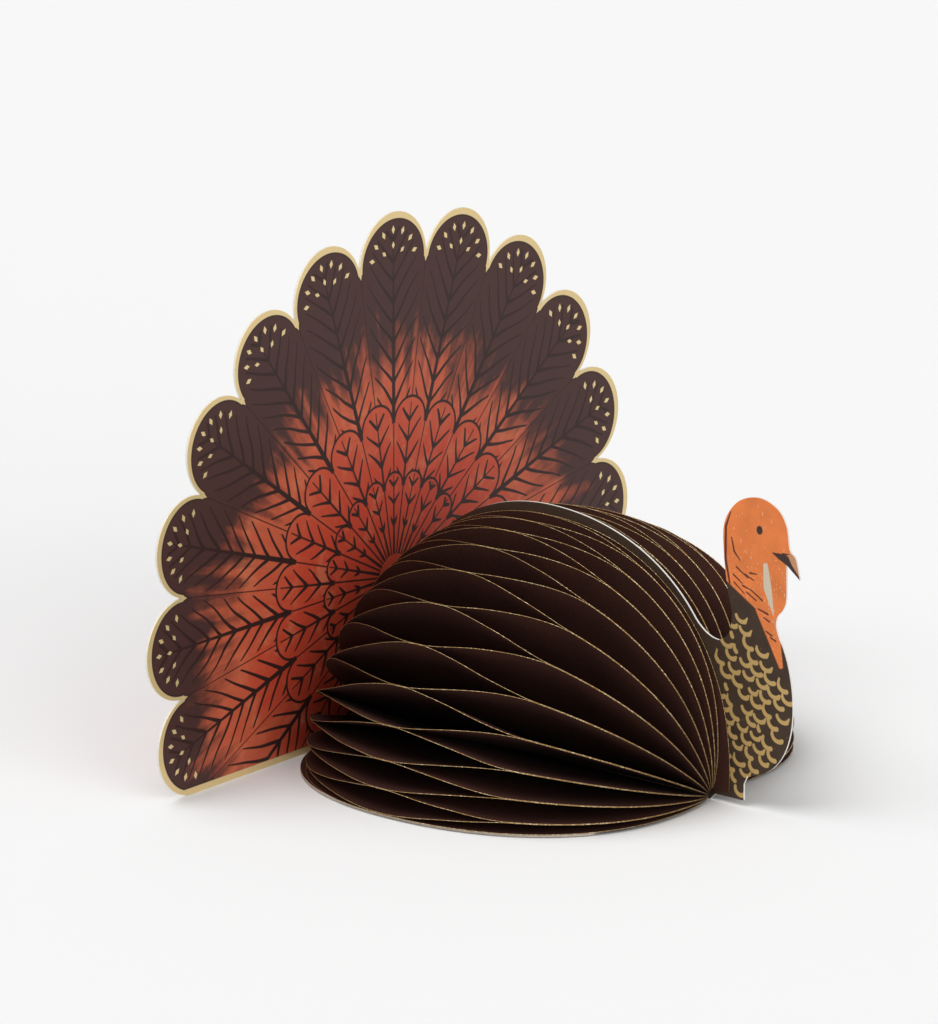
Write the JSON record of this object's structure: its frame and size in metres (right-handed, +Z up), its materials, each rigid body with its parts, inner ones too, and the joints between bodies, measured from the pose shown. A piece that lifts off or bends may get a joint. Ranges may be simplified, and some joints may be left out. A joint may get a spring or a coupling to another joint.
{
  "type": "paper honeycomb turkey centrepiece",
  "caption": "Pop-up paper turkey: a flat die-cut card with the head, honeycomb halves that fold shut on base boards, and a scalloped tail fan in a slot.",
  "frame": {"origin": "on the table, at the middle of the figure's footprint box", "axes": "+Z up, the head looks along -Y, +X towards the bird's left"},
  "size_m": [0.254, 0.1834, 0.1782],
  "materials": {
    "printed_card": "matt printed card, dark brown with an orange head",
    "printed_fan": "printed card, russet to dark brown, gold border",
    "grey_board": "plain pale grey board",
    "honeycomb_paper": "matt dark brown paper with a gold edge"
  },
  "bodies": {
    "card": {"centre_card": "printed_card", "right_card_leaf": "honeycomb_paper", "left_card_leaf": "honeycomb_paper"},
    "tail": {"tail_fan": "printed_fan"},
    "right_base": {"right_base_board": "grey_board", "right_board_leaf": "honeycomb_paper"},
    "right_pair_01": {"right_leaf_01": "honeycomb_paper", "right_leaf_02": "honeycomb_paper"},
    "right_pair_02": {"right_leaf_03": "honeycomb_paper", "right_leaf_04": "honeycomb_paper"},
    "right_pair_03": {"right_leaf_05": "honeycomb_paper", "right_leaf_06": "honeycomb_paper"},
    "right_pair_04": {"right_leaf_07": "honeycomb_paper", "right_leaf_08": "honeycomb_paper"},
    "right_pair_05": {"right_leaf_09": "honeycomb_paper", "right_leaf_10": "honeycomb_paper"},
    "right_pair_06": {"right_leaf_11": "honeycomb_paper", "right_leaf_12": "honeycomb_paper"},
    "right_pair_07": {"right_leaf_13": "honeycomb_paper", "right_leaf_14": "honeycomb_paper"},
    "right_pair_08": {"right_leaf_15": "honeycomb_paper", "right_leaf_16": "honeycomb_paper"},
    "right_pair_09": {"right_leaf_17": "honeycomb_paper", "right_leaf_18": "honeycomb_paper"},
    "right_pair_10": {"right_leaf_19": "honeycomb_paper", "right_leaf_20": "honeycomb_paper"},
    "right_pair_11": {"right_leaf_21": "honeycomb_paper", "right_leaf_22": "honeycomb_paper"},
    "left_base": {"left_base_board": "grey_board", "left_board_leaf": "honeycomb_paper"},
    "left_pair_01": {"left_leaf_01": "honeycomb_paper", "left_leaf_02": "honeycomb_paper"},
    "left_pair_02": {"left_leaf_03": "honeycomb_paper", "left_leaf_04": "honeycomb_paper"},
    "left_pair_03": {"left_leaf_05": "honeycomb_paper", "left_leaf_06": "honeycomb_paper"},
    "left_pair_04": {"left_leaf_07": "honeycomb_paper", "left_leaf_08": "honeycomb_paper"},
    "left_pair_05": {"left_leaf_09": "honeycomb_paper", "left_leaf_10": "honeycomb_paper"},
    "left_pair_06": {"left_leaf_11": "honeycomb_paper", "left_leaf_12": "honeycomb_paper"},
    "left_pair_07": {"left_leaf_13": "honeycomb_paper", "left_leaf_14": "honeycomb_paper"},
    "left_pair_08": {"left_leaf_15": "honeycomb_paper", "left_leaf_16": "honeycomb_paper"},
    "left_pair_09": {"left_leaf_17": "honeycomb_paper", "left_leaf_18": "honeycomb_paper"},
    "left_pair_10": {"left_leaf_19": "honeycomb_paper", "left_leaf_20": "honeycomb_paper"},
    "left_pair_11": {"left_leaf_21": "honeycomb_paper", "left_leaf_22": "honeycomb_paper"}
  },
  "joints": [
    {"name": "tail_lift", "type": "slide", "parent": "card", "child": "tail", "axis": [0, 0, 1], "range_m": [0, 0.045]},
    {"name": "right_fold", "type": "hinge", "parent": "card", "child": "right_base", "pos_m": [-0.00095, 0.0134, 0.0014], "axis": [0, 1, 0], "range_deg": [0, 84]},
    {"name": "right_pair_01_fold", "type": "hinge", "parent": "card", "child": "right_pair_01", "pos_m": [-0.00095, 0.0134, 0.0014], "axis": [0, 1, 0], "range_deg": [0, 2.74], "deforming": ["right_leaf_01", "right_leaf_02"]},
    {"name": "right_pair_02_fold", "type": "hinge", "parent": "card", "child": "right_pair_02", "pos_m": [-0.00095, 0.0134, 0.0014], "axis": [0, 1, 0], "range_deg": [0, 8.38], "deforming": ["right_leaf_03", "right_leaf_04"]},
    {"name": "right_pair_03_fold", "type": "hinge", "parent": "card", "child": "right_pair_03", "pos_m": [-0.00095, 0.0134, 0.0014], "axis": [0, 1, 0], "range_deg": [0, 15.04], "deforming": ["right_leaf_05", "right_leaf_06"]},
    {"name": "right_pair_04_fold", "type": "hinge", "parent": "card", "child": "right_pair_04", "pos_m": [-0.00095, 0.0134, 0.0014], "axis": [0, 1, 0], "range_deg": [0, 23.01], "deforming": ["right_leaf_07", "right_leaf_08"]},
    {"name": "right_pair_05_fold", "type": "hinge", "parent": "card", "child": "right_pair_05", "pos_m": [-0.00095, 0.0134, 0.0014], "axis": [0, 1, 0], "range_deg": [0, 32.2], "deforming": ["right_leaf_09", "right_leaf_10"]},
    {"name": "right_pair_06_fold", "type": "hinge", "parent": "card", "child": "right_pair_06", "pos_m": [-0.00095, 0.0134, 0.0014], "axis": [0, 1, 0], "range_deg": [0, 42.1], "deforming": ["right_leaf_11", "right_leaf_12"]},
    {"name": "right_pair_07_fold", "type": "hinge", "parent": "card", "child": "right_pair_07", "pos_m": [-0.00095, 0.0134, 0.0014], "axis": [0, 1, 0], "range_deg": [0, 52], "deforming": ["right_leaf_13", "right_leaf_14"]},
    {"name": "right_pair_08_fold", "type": "hinge", "parent": "card", "child": "right_pair_08", "pos_m": [-0.00095, 0.0134, 0.0014], "axis": [0, 1, 0], "range_deg": [0, 61.19], "deforming": ["right_leaf_15", "right_leaf_16"]},
    {"name": "right_pair_09_fold", "type": "hinge", "parent": "card", "child": "right_pair_09", "pos_m": [-0.00095, 0.0134, 0.0014], "axis": [0, 1, 0], "range_deg": [0, 69.16], "deforming": ["right_leaf_17", "right_leaf_18"]},
    {"name": "right_pair_10_fold", "type": "hinge", "parent": "card", "child": "right_pair_10", "pos_m": [-0.00095, 0.0134, 0.0014], "axis": [0, 1, 0], "range_deg": [0, 75.82], "deforming": ["right_leaf_19", "right_leaf_20"]},
    {"name": "right_pair_11_fold", "type": "hinge", "parent": "card", "child": "right_pair_11", "pos_m": [-0.00095, 0.0134, 0.0014], "axis": [0, 1, 0], "range_deg": [0, 81.46], "deforming": ["right_leaf_21", "right_leaf_22"]},
    {"name": "left_fold", "type": "hinge", "parent": "card", "child": "left_base", "pos_m": [0.00095, 0.0134, 0.0014], "axis": [0, -1, 0], "range_deg": [0, 84]},
    {"name": "left_pair_01_fold", "type": "hinge", "parent": "card", "child": "left_pair_01", "pos_m": [0.00095, 0.0134, 0.0014], "axis": [0, -1, 0], "range_deg": [0, 2.74], "deforming": ["left_leaf_01", "left_leaf_02"]},
    {"name": "left_pair_02_fold", "type": "hinge", "parent": "card", "child": "left_pair_02", "pos_m": [0.00095, 0.0134, 0.0014], "axis": [0, -1, 0], "range_deg": [0, 8.38], "deforming": ["left_leaf_03", "left_leaf_04"]},
    {"name": "left_pair_03_fold", "type": "hinge", "parent": "card", "child": "left_pair_03", "pos_m": [0.00095, 0.0134, 0.0014], "axis": [0, -1, 0], "range_deg": [0, 15.04], "deforming": ["left_leaf_05", "left_leaf_06"]},
    {"name": "left_pair_04_fold", "type": "hinge", "parent": "card", "child": "left_pair_04", "pos_m": [0.00095, 0.0134, 0.0014], "axis": [0, -1, 0], "range_deg": [0, 23.01], "deforming": ["left_leaf_07", "left_leaf_08"]},
    {"name": "left_pair_05_fold", "type": "hinge", "parent": "card", "child": "left_pair_05", "pos_m": [0.00095, 0.0134, 0.0014], "axis": [0, -1, 0], "range_deg": [0, 32.2], "deforming": ["left_leaf_09", "left_leaf_10"]},
    {"name": "left_pair_06_fold", "type": "hinge", "parent": "card", "child": "left_pair_06", "pos_m": [0.00095, 0.0134, 0.0014], "axis": [0, -1, 0], "range_deg": [0, 42.1], "deforming": ["left_leaf_11", "left_leaf_12"]},
    {"name": "left_pair_07_fold", "type": "hinge", "parent": "card", "child": "left_pair_07", "pos_m": [0.00095, 0.0134, 0.0014], "axis": [0, -1, 0], "range_deg": [0, 52], "deforming": ["left_leaf_13", "left_leaf_14"]},
    {"name": "left_pair_08_fold", "type": "hinge", "parent": "card", "child": "left_pair_08", "pos_m": [0.00095, 0.0134, 0.0014], "axis": [0, -1, 0], "range_deg": [0, 61.19], "deforming": ["left_leaf_15", "left_leaf_16"]},
    {"name": "left_pair_09_fold", "type": "hinge", "parent": "card", "child": "left_pair_09", "pos_m": [0.00095, 0.0134, 0.0014], "axis": [0, -1, 0], "range_deg": [0, 69.16], "deforming": ["left_leaf_17", "left_leaf_18"]},
    {"name": "left_pair_10_fold", "type": "hinge", "parent": "card", "child": "left_pair_10", "pos_m": [0.00095, 0.0134, 0.0014], "axis": [0, -1, 0], "range_deg": [0, 75.82], "deforming": ["left_leaf_19", "left_leaf_20"]},
    {"name": "left_pair_11_fold", "type": "hinge", "parent": "card", "child": "left_pair_11", "pos_m": [0.00095, 0.0134, 0.0014], "axis": [0, -1, 0], "range_deg": [0, 81.46], "deforming": ["left_leaf_21", "left_leaf_22"]}
  ],
  "couplings": [
    {"joint": "right_pair_01_fold", "follows": "right_fold", "ratio": 0.0314},
    {"joint": "right_pair_02_fold", "follows": "right_fold", "ratio": 0.0986},
    {"joint": "right_pair_03_fold", "follows": "right_fold", "ratio": 0.1778},
    {"joint": "right_pair_04_fold", "follows": "right_fold", "ratio": 0.2727},
    {"joint": "right_pair_05_fold", "follows": "right_fold", "ratio": 0.3821},
    {"joint": "right_pair_06_fold", "follows": "right_fold", "ratio": 0.5},
    {"joint": "right_pair_07_fold", "follows": "right_fold", "ratio": 0.6179},
    {"joint": "right_pair_08_fold", "follows": "right_fold", "ratio": 0.7273},
    {"joint": "right_pair_09_fold", "follows": "right_fold", "ratio": 0.8222},
    {"joint": "right_pair_10_fold", "follows": "right_fold", "ratio": 0.9014},
    {"joint": "right_pair_11_fold", "follows": "right_fold", "ratio": 0.9686},
    {"joint": "left_pair_01_fold", "follows": "left_fold", "ratio": 0.0314},
    {"joint": "left_pair_02_fold", "follows": "left_fold", "ratio": 0.0986},
    {"joint": "left_pair_03_fold", "follows": "left_fold", "ratio": 0.1778},
    {"joint": "left_pair_04_fold", "follows": "left_fold", "ratio": 0.2727},
    {"joint": "left_pair_05_fold", "follows": "left_fold", "ratio": 0.3821},
    {"joint": "left_pair_06_fold", "follows": "left_fold", "ratio": 0.5},
    {"joint": "left_pair_07_fold", "follows": "left_fold", "ratio": 0.6179},
    {"joint": "left_pair_08_fold", "follows": "left_fold", "ratio": 0.7273},
    {"joint": "left_pair_09_fold", "follows": "left_fold", "ratio": 0.8222},
    {"joint": "left_pair_10_fold", "follows": "left_fold", "ratio": 0.9014},
    {"joint": "left_pair_11_fold", "follows": "left_fold", "ratio": 0.9686}
  ]
}
